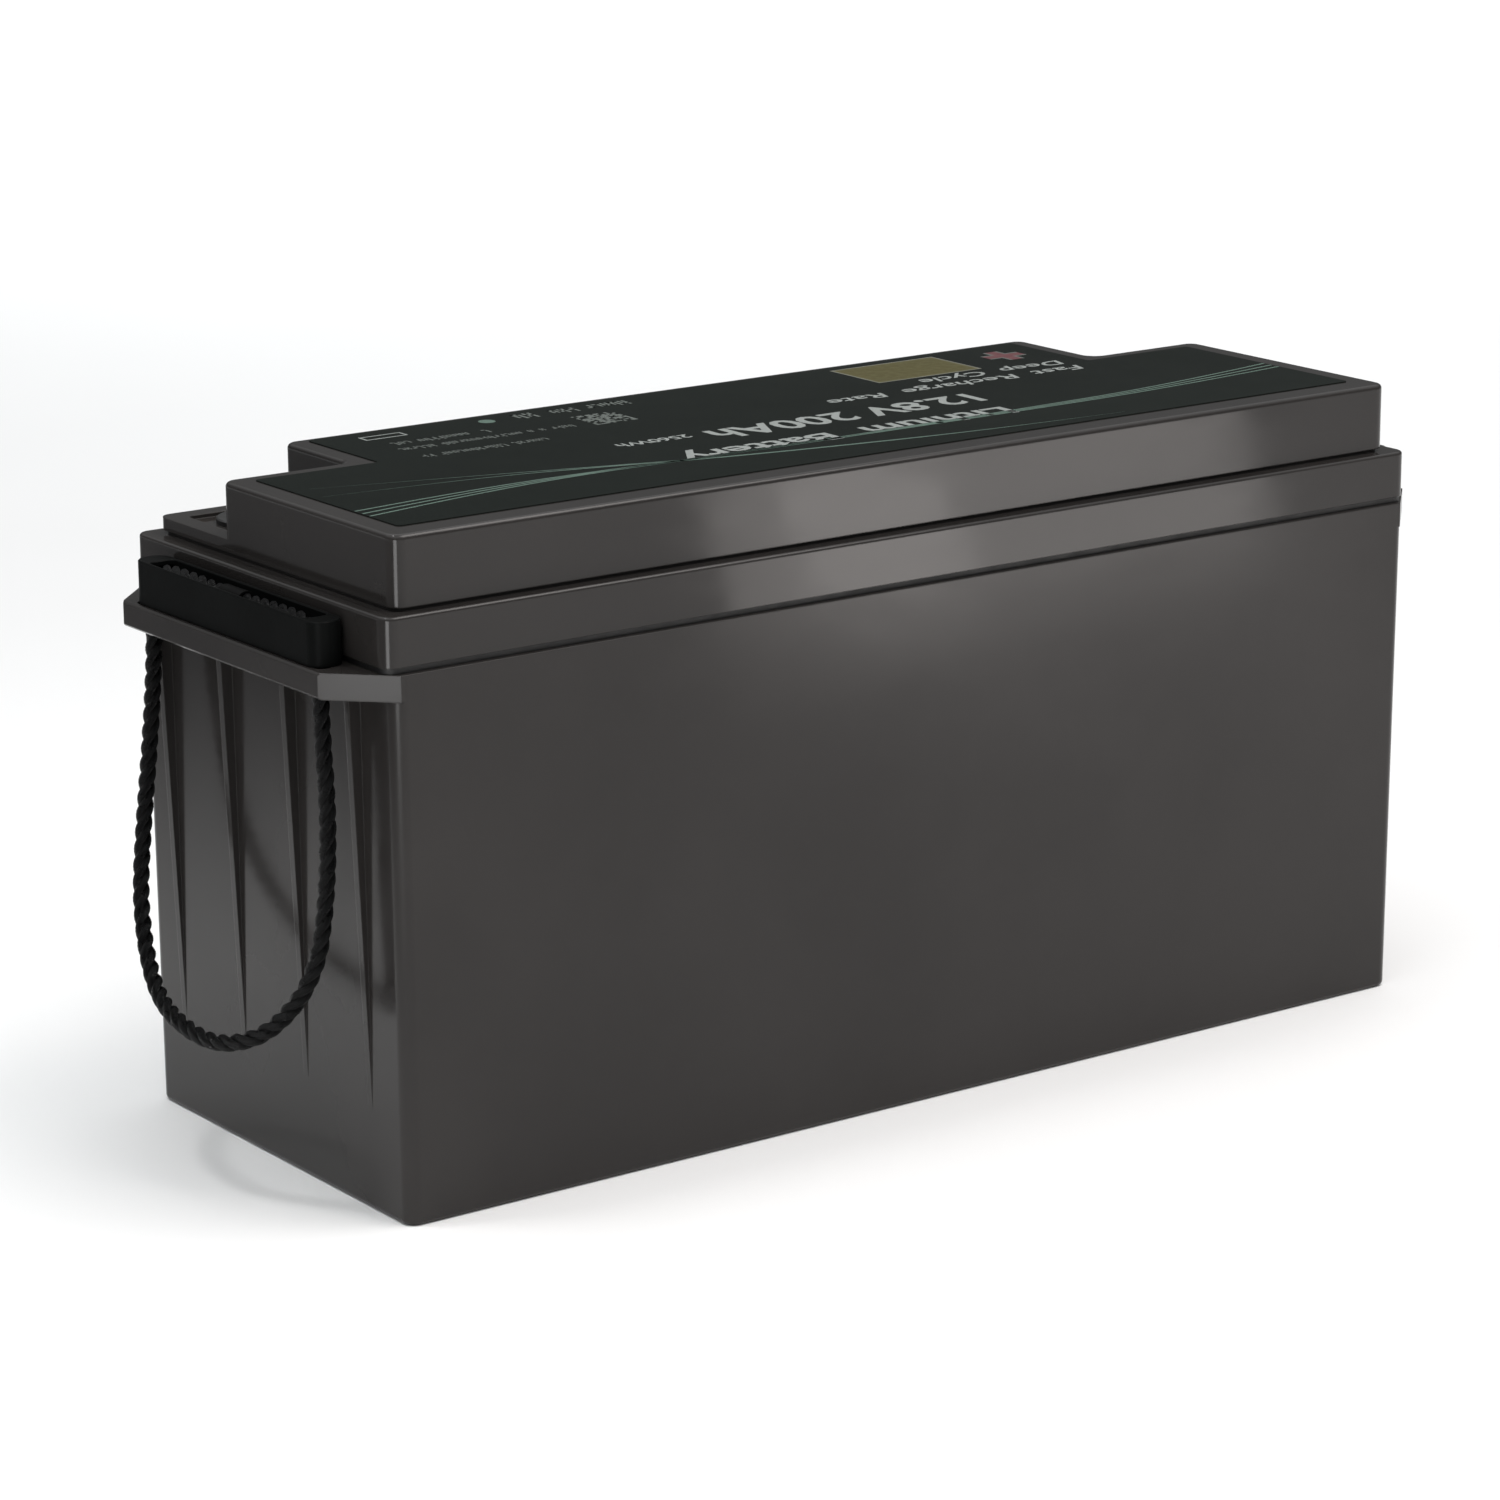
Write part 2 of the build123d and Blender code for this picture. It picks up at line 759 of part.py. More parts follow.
positive_points = [
    (-barrel_end_x, cell_y, barrel_z),
    (-barrel_end_x + 22, cell_y, barrel_z),
    (-barrel_end_x + 50, 5, 221),
    (146, 0, 222),
    (172, -6, 219),
    (terminal_x, -14, terminal_barrel_z),
    (terminal_x, terminal_barrel_y, terminal_barrel_z),
]
save(round_cord(positive_points, [30, 40, 60, 20, 20], cable_diameter), "positive_cable")

negative_points = [
    (-terminal_x, terminal_barrel_y, terminal_barrel_z),
    (-terminal_x, cable_block_y[1], terminal_barrel_z),
    (-terminal_x, cable_block_y[1], block_top),
]
save(round_cord(negative_points, [24], cable_diameter), "negative_cable")

cell_cable_points = [
    (-lug_stud_x - 14 - lug_barrel_length, cable_block_y[0], barrel_z),
    (-terminal_x, cable_block_y[0], barrel_z),
    (-terminal_x, cable_block_y[0], block_top),
]
save(round_cord(cell_cable_points, [16], cable_diameter), "cell_negative_cable")

sensor_place = (-60.0, -14.0)
sense_x = board_face_x - 1.6
sense_top = connector_z + connector_size[2]
sense_targets = [(-inner_post_x + 14, -cell_y), (lug_stud_x, 12), (-inner_post_x + 14, cell_y), sensor_place]
sense_landings = [busbar_top, busbar_top, busbar_top, cell_top + 3]
with BuildPart() as sense_wires:
    for number, (target, landing) in enumerate(zip(sense_targets, sense_landings)):
        wire_y = connector_y + 4 + 4 * number
        wire_z = 227.6 + 1.5 * number
        wire_points = [
            (sense_x, wire_y, sense_top),
            (sense_x, wire_y, wire_z - 6),
            (sense_x + 14, wire_y, wire_z),
            (target[0] - 14, target[1], wire_z),
            (target[0], target[1], wire_z - 5),
            (target[0], target[1], landing),
        ]
        add(round_cord(wire_points, [4, 4, 4, 3.5], sense_wire_diameter))
save(sense_wires.part, "sense_wires")

with BuildPart() as temperature_sensor:
    with Locations((sensor_place[0], sensor_place[1], cell_top)):
        Box(8, 6, 3, align=(Align.CENTER, Align.CENTER, Align.MIN))
    fillet(temperature_sensor.edges().filter_by(Axis.Z), 1)
save(temperature_sensor.part, "temperature_sensor")
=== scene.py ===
"""Deep cycle battery: materials, label print, rope handles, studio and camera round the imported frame.

Metres. +X runs along the case, +Y points to the side with the terminals, +Z is up.
"""

import json
import random
from math import cos, radians, sin, tau

import bpy
from mathutils import Matrix, Vector


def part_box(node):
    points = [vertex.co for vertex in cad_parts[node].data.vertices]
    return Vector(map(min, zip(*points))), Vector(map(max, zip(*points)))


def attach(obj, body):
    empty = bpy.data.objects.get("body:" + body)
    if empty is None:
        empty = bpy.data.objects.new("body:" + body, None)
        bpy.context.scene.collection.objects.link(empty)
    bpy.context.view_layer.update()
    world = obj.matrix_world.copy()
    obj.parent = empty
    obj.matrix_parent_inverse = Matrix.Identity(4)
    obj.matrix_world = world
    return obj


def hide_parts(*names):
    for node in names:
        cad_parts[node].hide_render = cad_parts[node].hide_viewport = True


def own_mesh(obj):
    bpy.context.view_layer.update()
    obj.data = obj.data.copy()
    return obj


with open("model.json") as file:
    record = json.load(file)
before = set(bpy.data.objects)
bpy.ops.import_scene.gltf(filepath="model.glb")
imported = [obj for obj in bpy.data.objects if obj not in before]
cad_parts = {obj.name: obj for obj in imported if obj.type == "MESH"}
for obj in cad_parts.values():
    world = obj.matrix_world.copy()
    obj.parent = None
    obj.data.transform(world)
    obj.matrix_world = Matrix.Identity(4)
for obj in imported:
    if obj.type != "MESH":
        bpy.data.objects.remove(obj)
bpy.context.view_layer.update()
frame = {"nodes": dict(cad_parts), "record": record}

# ---------------------------------------------------------------- camera


def add_camera():
    """Long lens from the front left corner, looking a little down on the case."""
    azimuth, elevation, roll = radians(-36.009), radians(14.998), radians(-0.253)
    aim = Vector((-0.0296, -0.0127, 0.12))
    distance = 1.763
    focal_length = 116.19
    sensor_width = 36.0
    back = Vector((sin(azimuth) * cos(elevation), -cos(azimuth) * cos(elevation), sin(elevation)))
    level_right = (-back).cross(Vector((0, 0, 1))).normalized()
    level_up = level_right.cross(-back)
    right = level_right * cos(roll) + level_up * sin(roll)
    up = level_up * cos(roll) - level_right * sin(roll)
    data = bpy.data.cameras.new("camera")
    data.lens = focal_length
    data.sensor_width = sensor_width
    data.clip_start = 0.05
    data.clip_end = 60.0
    camera = bpy.data.objects.new("camera", data)
    turn = Matrix((right, up, back)).transposed().to_4x4()
    camera.matrix_world = Matrix.Translation(aim + back * distance) @ turn
    bpy.context.scene.collection.objects.link(camera)
    bpy.context.scene.camera = camera


add_camera()

# ---------------------------------------------------------------- rope dimensions

rope_hole_x = 0.236
# A loop's route, from the joint inside the grip round the hanging loop and back:
# outward distance from the middle of the rope slots, then Y and Z.
rope_route = [
    (-0.0012, 0.0004, 0.2032),
    (-0.0009, 0.0280, 0.2046),
    (-0.0006, 0.0550, 0.2040),
    (0.0003, 0.0554, 0.1720),
    (0.0030, 0.0556, 0.1430),
    (0.0070, 0.0553, 0.1135),
    (0.0138, 0.0480, 0.0860),
    (0.0215, 0.0270, 0.0640),
    (0.0260, 0.0030, 0.0575),
    (0.0235, -0.0220, 0.0545),
    (0.0125, -0.0395, 0.0620),
    (0.0035, -0.0540, 0.0840),
    (0.0003, -0.0570, 0.1120),
    (0.0000, -0.0588, 0.1420),
    (0.0001, -0.0560, 0.1720),
    (-0.0006, -0.0550, 0.2040),
    (-0.0009, -0.0280, 0.2046),
    (-0.0012, -0.0004, 0.2032),
]
strand_count = 3
strand_radius = 0.00142
strand_orbit = 0.00158
lay_pitch = 0.0178
strand_sides = 28
yarn_count = 7
yarn_depth = 0.05
yarn_pitch = 0.0160
filament_count = 35
rope_resolution = 30
ribbon_resolution = 12

# ---------------------------------------------------------------- mesh and curve helpers


def add_mesh(name, points, faces, material, smooth=False):
    """New mesh object from points and faces, with one material."""
    mesh = bpy.data.meshes.new(name)
    mesh.from_pydata([tuple(p) for p in points], [], faces)
    mesh.materials.append(material)
    mesh.polygons.foreach_set("use_smooth", [smooth] * len(faces))
    mesh.update()
    piece = bpy.data.objects.new(name, mesh)
    bpy.context.scene.collection.objects.link(piece)
    return piece


def spline_line(points, resolution):
    """Points along the smooth NURBS spline that a listed route gives."""
    curve = bpy.data.curves.new("route", "CURVE")
    curve.dimensions = "3D"
    curve.resolution_u = resolution
    spline = curve.splines.new("NURBS")
    spline.points.add(len(points) - 1)
    for point, place in zip(spline.points, points):
        point.co = (*place, 1.0)
    spline.order_u = 3
    spline.use_endpoint_u = True
    carrier = bpy.data.objects.new("route", curve)
    bpy.context.scene.collection.objects.link(carrier)
    mesh = bpy.data.meshes.new_from_object(carrier)
    line = [vertex.co.copy() for vertex in mesh.vertices]
    bpy.data.meshes.remove(mesh)
    bpy.data.objects.remove(carrier)
    bpy.data.curves.remove(curve)
    return line


def line_frames(line):
    """Tangent, side and other side at each point of a line, carried along it without twist."""
    tangents = []
    for i in range(len(line)):
        ahead = line[min(i + 1, len(line) - 1)]
        behind = line[max(i - 1, 0)]
        tangents.append((ahead - behind).normalized())
    side = tangents[0].orthogonal().normalized()
    frames = []
    for tangent in tangents:
        side = (side - tangent * side.dot(tangent)).normalized()
        frames.append((tangent, side, tangent.cross(side)))
    return frames


def distances(line):
    """Distance along a line to each of its points."""
    total = 0.0
    result = [0.0]
    for a, b in zip(line, line[1:]):
        total += (b - a).length
        result.append(total)
    return result


# ---------------------------------------------------------------- material helpers


class Surface:
    """One procedural material: a principled shader and short calls for the nodes round it."""

    def __init__(self, name, **values):
        self.material = bpy.data.materials.new(name)
        self.material.use_nodes = True
        self.tree = self.material.node_tree
        self.shader = self.tree.nodes["Principled BSDF"]
        self.place = self.add("ShaderNodeTexCoord").outputs["Object"]
        for socket, value in values.items():
            self.shader.inputs[socket.replace("_", " ")].default_value = value

    def add(self, kind, **settings):
        """New node with the given settings."""
        node = self.tree.nodes.new(kind)
        for name, value in settings.items():
            setattr(node, name, value)
        return node

    def feed(self, socket, value):
        """Gives an input socket a link or a plain value."""
        if isinstance(value, bpy.types.NodeSocket):
            self.tree.links.new(value, socket)
        else:
            socket.default_value = value

    def math(self, operation, first, second=0.0):
        """Result of one math operation."""
        node = self.add("ShaderNodeMath", operation=operation)
        self.feed(node.inputs[0], first)
        self.feed(node.inputs[1], second)
        return node.outputs[0]

    def stretched(self, scale):
        """Object coordinates with each axis scaled on its own."""
        node = self.add("ShaderNodeMapping")
        self.feed(node.inputs["Vector"], self.place)
        node.inputs["Scale"].default_value = scale
        return node.outputs["Vector"]

    def noise(self, scale, detail=3.0, place=None):
        """Noise value at a scale in cycles per metre."""
        node = self.add("ShaderNodeTexNoise")
        self.feed(node.inputs["Vector"], place or self.place)
        node.inputs["Scale"].default_value = scale
        node.inputs["Detail"].default_value = detail
        return node.outputs["Fac"]

    def cells(self, scale):
        """Distance to the nearest of scattered points."""
        node = self.add("ShaderNodeTexVoronoi")
        self.feed(node.inputs["Vector"], self.place)
        node.inputs["Scale"].default_value = scale
        return node.outputs["Distance"]

    def range(self, value, low, high, to_low=0.0, to_high=1.0):
        """Smooth step of a value from one range to another."""
        node = self.add("ShaderNodeMapRange", interpolation_type="SMOOTHSTEP")
        for socket, given in zip(node.inputs, (value, low, high, to_low, to_high)):
            self.feed(socket, given)
        return node.outputs["Result"]

    def mix(self, factor, first, second):
        """Mix of two colours."""
        node = self.add("ShaderNodeMix", data_type="RGBA")
        self.feed(node.inputs["Factor"], factor)
        for socket, colour in zip((node.inputs[6], node.inputs[7]), (first, second)):
            self.feed(socket, (*colour, 1.0) if isinstance(colour, tuple) else colour)
        return node.outputs[2]

    def colour(self, value):
        """Sets the base colour."""
        self.feed(self.shader.inputs["Base Color"], value)

    def roughness(self, value):
        """Sets the roughness."""
        self.feed(self.shader.inputs["Roughness"], value)

    def relief(self, *layers, edge=0.0):
        """Stacks bump layers, each a height, its depth in metres and a strength, on softened edges."""
        normal = None
        if edge:
            bevel = self.add("ShaderNodeBevel", samples=4)
            bevel.inputs["Radius"].default_value = edge
            normal = bevel.outputs["Normal"]
        for height, depth, strength in layers:
            bump = self.add("ShaderNodeBump")
            self.feed(bump.inputs["Height"], height)
            bump.inputs["Distance"].default_value = depth
            bump.inputs["Strength"].default_value = strength
            if normal:
                self.feed(bump.inputs["Normal"], normal)
            normal = bump.outputs["Normal"]
        self.feed(self.shader.inputs["Normal"], normal)


def scaled(colour, factor):
    """Colour made lighter or darker."""
    return tuple(channel * factor for channel in colour)


# ---------------------------------------------------------------- materials


def glossy_case(name, colour, index, gloss, wave, wave_depth):
    """Glossy moulded ABS with a faint skin texture, slow waves, handling marks and a few dust specks."""
    dust_colour = (0.12, 0.12, 0.115)
    smear_scale = (18.0, 18.0, 55.0)
    smear_dulling = 0.07
    surface = Surface(name, IOR=index)
    cloud = surface.noise(9.0, 4.0)
    tone = surface.mix(surface.range(cloud, 0.3, 0.7), scaled(colour, 0.88), scaled(colour, 1.12))
    specks = surface.range(surface.cells(70.0), 0.012, 0.02, 1.0, 0.0)
    rare = surface.range(surface.noise(23.0, 0.0), 0.7, 0.72)
    dust = surface.math("MULTIPLY", specks, rare)
    surface.colour(surface.mix(dust, tone, dust_colour))
    smear = surface.noise(1.0, 5.0, surface.stretched(smear_scale))
    surface.roughness(surface.range(smear, 0.25, 0.8, gloss, gloss + smear_dulling))
    skin = surface.noise(1400.0, 1.0)
    slow = surface.noise(wave, 1.0)
    surface.relief((slow, wave_depth, 1.0), (skin, 1.5e-6, 1.0), edge=0.0005)
    return surface.material


def moulded(name, colour, gloss, grain=900.0, grain_depth=2e-5, **values):
    """Moulded plastic or rubber with a fine grain and a slow tone change."""
    surface = Surface(name, **values)
    cloud = surface.range(surface.noise(35.0, 4.0), 0.3, 0.7)
    surface.colour(surface.mix(cloud, scaled(colour, 0.85), scaled(colour, 1.15)))
    surface.roughness(surface.range(surface.noise(140.0, 3.0), 0.3, 0.7, gloss - 0.04, gloss + 0.05))
    surface.relief((surface.noise(grain, 2.0), grain_depth, 0.8), edge=0.0003)
    return surface.material


def metal(name, colour, gloss, brush=(60.0, 60.0, 900.0)):
    """Machined or plated metal with fine tool lines and a patchy film."""
    surface = Surface(name, Metallic=1.0)
    film = surface.range(surface.noise(55.0, 5.0), 0.35, 0.7)
    surface.colour(surface.mix(film, colour, scaled(colour, 0.82)))
    lines = surface.noise(1.0, 2.0, surface.stretched(brush))
    surface.roughness(surface.range(lines, 0.3, 0.7, gloss - 0.06, gloss + 0.08))
    surface.relief((lines, 1e-5, 0.6), edge=0.0002)
    return surface.material


def terminal_brass():
    """Machined brass with turned rings on top and the M8 thread inside the bore."""
    surface = Surface("terminal_brass", Metallic=1.0)
    colour = (0.72, 0.50, 0.20)
    film = surface.range(surface.noise(160.0, 5.0), 0.35, 0.75)
    surface.colour(surface.mix(film, colour, scaled(colour, 0.7)))
    surface.roughness(surface.range(surface.noise(420.0, 2.0), 0.3, 0.7, 0.2, 0.32))
    low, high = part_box("positive_terminal")
    middle = (low + high) / 2
    axes = surface.add("ShaderNodeSeparateXYZ")
    surface.feed(axes.inputs[0], surface.place)
    from_end = surface.math("SUBTRACT", surface.math("ABSOLUTE", axes.outputs["X"]), middle.x)
    from_row = surface.math("SUBTRACT", axes.outputs["Y"], middle.y)
    squares = [surface.math("POWER", side, 2.0) for side in (from_end, from_row)]
    radius = surface.math("SQRT", surface.math("ADD", *squares))
    bore_radius, thread_pitch, ring_pitch = 0.0036, 0.00125, 0.0004
    in_bore = surface.math("LESS_THAN", radius, bore_radius)
    thread = surface.math("SINE", surface.math("MULTIPLY", axes.outputs["Z"], tau / thread_pitch))
    rings = surface.math("SINE", surface.math("MULTIPLY", radius, tau / ring_pitch))
    surface.relief(
        (surface.math("MULTIPLY", thread, in_bore), 3e-4, 1.0), (rings, 4e-6, 0.5), edge=0.0003
    )
    return surface.material


def label_film():
    """Printed film, dark green-black, with a soft tonal sweep and a fine satin skin."""
    dark, light = (0.0046, 0.0064, 0.0052), (0.0072, 0.0102, 0.0083)
    surface = Surface("label_film", IOR=1.45, Specular_IOR_Level=0.02)
    sweep = surface.noise(1.0, 2.0, surface.stretched((3.0, 7.0, 1.0)))
    tone = surface.mix(surface.range(sweep, 0.3, 0.7), dark, light)
    fibre = surface.range(surface.noise(1500.0, 2.0), 0.35, 0.65)
    surface.colour(surface.mix(fibre, tone, (0.0085, 0.0110, 0.0094)))
    surface.roughness(surface.range(surface.noise(60.0, 4.0), 0.3, 0.7, 0.18, 0.24))
    surface.relief((surface.noise(11.0, 1.0), 3e-4, 0.5), (surface.noise(1800.0, 1.0), 6e-6, 0.7))
    return surface.material


def print_ink(name, colour, worn=0.8):
    """Screen-printed ink with small gaps where the film shows through."""
    surface = Surface(name, IOR=1.45, Specular_IOR_Level=0.15)
    gaps = surface.range(surface.noise(1600.0, 2.0), 0.32, 0.5)
    surface.colour(surface.mix(gaps, scaled(colour, worn), colour))
    surface.roughness(surface.range(surface.noise(300.0, 2.0), 0.3, 0.7, 0.4, 0.5))
    surface.relief((surface.noise(2200.0, 1.0), 5e-6, 0.6))
    return surface.material


def rope_fibre():
    """Black polypropylene filaments that run along each strand against its twist, with painted shade in the
    grooves between the yarns and a random patchy tone.
    """
    dark, light = (0.0006, 0.0006, 0.0007), (0.0052, 0.0052, 0.0055)
    surface = Surface("rope_fibre", IOR=1.46, Specular_IOR_Level=0.26)
    across = surface.add("ShaderNodeUVMap", uv_map="strand")
    axes = surface.add("ShaderNodeSeparateXYZ")
    surface.feed(axes.inputs[0], across.outputs["UV"])
    yarns = surface.math("COSINE", surface.math("MULTIPLY", axes.outputs["X"], tau * yarn_count))
    fine = surface.math("SINE", surface.math("MULTIPLY", axes.outputs["X"], tau * filament_count))
    patch = surface.noise(420.0, 3.0)
    # Painted shade: the colour darkens in the grooves between the yarns, mixed with a random patchy tone.
    yarn_shade_and_tone = surface.math("ADD", surface.math("MULTIPLY", yarns, 0.30), patch)
    surface.colour(surface.mix(surface.range(yarn_shade_and_tone, 0.25, 0.85), dark, light))
    surface.roughness(surface.range(patch, 0.3, 0.7, 0.22, 0.55))
    surface.relief((fine, 9e-5, 1.0), (surface.noise(2600.0, 2.0), 4e-5, 0.6))
    return surface.material


def cell_film():
    """Blue shrink film over an aluminium can, glossy with faint wrinkles."""
    surface = Surface("cell_film", IOR=1.5)
    tone = surface.range(surface.noise(25.0, 3.0), 0.3, 0.7)
    surface.colour(surface.mix(tone, (0.012, 0.07, 0.33), (0.02, 0.10, 0.42)))
    surface.roughness(surface.range(surface.noise(80.0, 3.0), 0.3, 0.7, 0.2, 0.3))
    wrinkles = surface.noise(1.0, 4.0, surface.stretched((40.0, 40.0, 160.0)))
    surface.relief((wrinkles, 2e-4, 0.5))
    return surface.material


def closed_foam():
    """Black closed-cell foam, with painted shade in the pore hollows."""
    pore_shade, raised = (0.012, 0.012, 0.013), (0.04, 0.04, 0.042)
    surface = Surface("closed_foam", Specular_IOR_Level=0.2)
    pores = surface.cells(900.0)
    # Painted shade: the colour darkens towards the pore centres, where the bump dips.
    surface.colour(surface.mix(surface.range(pores, 0.1, 0.6), pore_shade, raised))
    surface.roughness(surface.range(pores, 0.1, 0.6, 0.8, 0.95))
    surface.relief((pores, 3e-4, 0.9))
    return surface.material


def epoxy_sheet():
    """Pale green glass-epoxy sheet with a woven ground."""
    thread, gap = (0.36, 0.42, 0.20), (0.27, 0.33, 0.15)
    surface = Surface("epoxy_sheet", IOR=1.5)
    weave = surface.add("ShaderNodeTexBrick", offset=0.5)
    surface.feed(weave.inputs["Vector"], surface.place)
    weave.inputs["Scale"].default_value = 450.0
    ground = surface.mix(surface.range(weave.outputs["Fac"], 0.0, 1.0), thread, gap)
    cloud = surface.range(surface.noise(40.0, 3.0), 0.3, 0.7)
    surface.colour(surface.mix(cloud, ground, (0.32, 0.38, 0.18)))
    surface.roughness(surface.range(surface.noise(120.0, 3.0), 0.3, 0.7, 0.35, 0.45))
    surface.relief((weave.outputs["Fac"], 1e-5, 0.5))
    return surface.material


def circuit_board():
    """Green solder mask with raised copper tracks under it."""
    surface = Surface("circuit_board", IOR=1.5)
    tracks = surface.range(surface.cells(220.0), 0.32, 0.36)
    surface.colour(surface.mix(tracks, (0.010, 0.12, 0.04), (0.016, 0.19, 0.065)))
    surface.roughness(surface.range(surface.noise(200.0, 2.0), 0.3, 0.7, 0.22, 0.32))
    surface.relief((tracks, 4e-5, 0.8))
    return surface.material


case_grey = (0.0245, 0.0223, 0.0212)
grip_black = (0.0042, 0.0046, 0.0045)
sleeve_black = (0.0030, 0.0030, 0.0030)
slot_materials = {
    "case_plastic": glossy_case("case_plastic", case_grey, 1.33, 0.14, 14.0, 1.2e-4),
    "lid_plastic": glossy_case("lid_plastic", case_grey, 1.36, 0.06, 20.0, 1.5e-4),
    "seal_black": moulded("seal_black", (0.006, 0.006, 0.006), 0.5),
    "label_film": label_film(),
    "brass": terminal_brass(),
    "red_plastic": moulded("red_plastic", (0.42, 0.018, 0.014), 0.34, IOR=1.5),
    "black_plastic": moulded("black_plastic", (0.014, 0.014, 0.014), 0.38, IOR=1.5),
    "tinned_copper": metal("tinned_copper", (0.66, 0.64, 0.60), 0.28),
    "zinc_steel": metal("zinc_steel", (0.56, 0.57, 0.60), 0.34),
    "grip_plastic": moulded("grip_plastic", grip_black, 0.36, 700.0, 3e-5, Specular_IOR_Level=0.03),
    "rope_fibre": rope_fibre(),
    "black_rubber": moulded("black_rubber", sleeve_black, 0.55, 500.0, 5e-5, Specular_IOR_Level=0.05),
    "cell_wrap": cell_film(),
    "aluminium": metal("aluminium", (0.77, 0.78, 0.80), 0.3),
    "epoxy_sheet": epoxy_sheet(),
    "strap_steel": metal("strap_steel", (0.50, 0.50, 0.51), 0.36),
    "foam": closed_foam(),
    "circuit_board": circuit_board(),
    "white_plastic": moulded("white_plastic", (0.72, 0.71, 0.68), 0.4),
    "red_silicone": moulded("red_silicone", (0.40, 0.015, 0.012), 0.48, 300.0, 4e-5),
    "black_silicone": moulded("black_silicone", (0.014, 0.014, 0.014), 0.48, 300.0, 4e-5),
}


def dress_nodes():
    """Gives every CAD node the material of its slot in the record."""
    for subpart in frame["record"]["subparts"]:
        node = frame["nodes"][subpart["node"]]
        for material_slot in node.material_slots:
            material_slot.material = slot_materials[subpart["material_slot"]]


dress_nodes()

# ---------------------------------------------------------------- rope handles


def strand_line(line, frames, along, start_turn):
    """Centreline of one strand as it winds round the rope's own line."""
    strand = []
    for point, (_, side, other), distance in zip(line, frames, along):
        turn = start_turn + tau * distance / lay_pitch
        strand.append(point + (side * cos(turn) + other * sin(turn)) * strand_orbit)
    return strand


def strand_points(strand, line, along):
    """Rings of points round one strand, with low ridges for its yarns."""
    points = []
    for i, (centre, middle) in enumerate(zip(strand, line)):
        ahead = strand[min(i + 1, len(strand) - 1)]
        behind = strand[max(i - 1, 0)]
        tangent = (ahead - behind).normalized()
        outward = centre - middle
        outward = (outward - tangent * outward.dot(tangent)).normalized()
        across = tangent.cross(outward)
        for k in range(strand_sides):
            angle = tau * k / strand_sides
            yarn = cos(yarn_count * (angle + tau * along[i] / yarn_pitch))
            reach = strand_radius * (1 + yarn_depth * yarn)
            points.append(centre + (outward * cos(angle) + across * sin(angle)) * reach)
    return points


def strand_skin(start, along):
    """Faces and UV corners of one strand whose points begin at a start index."""
    faces, uvs = [], []
    rings = len(along)
    for i in range(rings - 1):
        a, b = start + i * strand_sides, start + (i + 1) * strand_sides
        near, far = along[i] / yarn_pitch, along[i + 1] / yarn_pitch
        for k in range(strand_sides):
            after = (k + 1) % strand_sides
            left, right = k / strand_sides, (k + 1) / strand_sides
            faces.append((a + k, a + after, b + after, b + k))
            uvs += [(left + near, near), (right + near, near), (right + far, far), (left + far, far)]
    first = tuple(start + k for k in reversed(range(strand_sides)))
    last = tuple(start + (rings - 1) * strand_sides + k for k in range(strand_sides))
    for cap in (first, last):
        faces.append(cap)
        uvs += [(0.0, 0.0)] * strand_sides
    return faces, uvs


def rope_mesh(name, line, material):
    """Three twisted strands along a line, closed at both ends, with a UV map that follows the yarns."""
    frames = line_frames(line)
    along = distances(line)
    points, faces, uvs = [], [], []
    for strand_index in range(strand_count):
        strand = strand_line(line, frames, along, tau * strand_index / strand_count)
        strand_faces, strand_uvs = strand_skin(len(points), along)
        points += strand_points(strand, line, along)
        faces += strand_faces
        uvs += strand_uvs
    rope = add_mesh(name, points, faces, material, smooth=True)
    layer = rope.data.uv_layers.new(name="strand")
    layer.data.foreach_set("uv", [value for uv in uvs for value in uv])
    return rope


def add_rope(side_name, side):
    """Twisted rope of one handle, riding on the handle's body."""
    route = [Vector((side * (rope_hole_x + out), y, z)) for out, y, z in rope_route]
    line = spline_line(route, rope_resolution)
    rope = rope_mesh(f"{side_name}_twisted_rope", line, slot_materials["rope_fibre"])
    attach(rope, f"{side_name}_handle")
    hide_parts(f"{side_name}_rope")
    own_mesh(rope)


add_rope("left", -1)
add_rope("right", 1)

# ---------------------------------------------------------------- label print

print_thickness = 0.00003
print_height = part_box("label")[1].z + print_thickness
ink_white = print_ink("ink_white", (0.27, 0.29, 0.28))
ink_pale = print_ink("ink_pale", (0.125, 0.14, 0.13))
ink_green = print_ink("ink_green", (0.095, 0.145, 0.12))
ink_gold = print_ink("ink_gold", (0.078, 0.070, 0.025))
ink_cream = print_ink("ink_cream", (0.17, 0.172, 0.14))
ink_red = print_ink("ink_red", (0.12, 0.045, 0.05))


def signed_area(outline):
    """Twice the area of a flat outline, negative where it runs clockwise."""
    return sum(a[0] * b[1] - b[0] * a[1] for a, b in zip(outline, outline[1:] + outline[:1]))


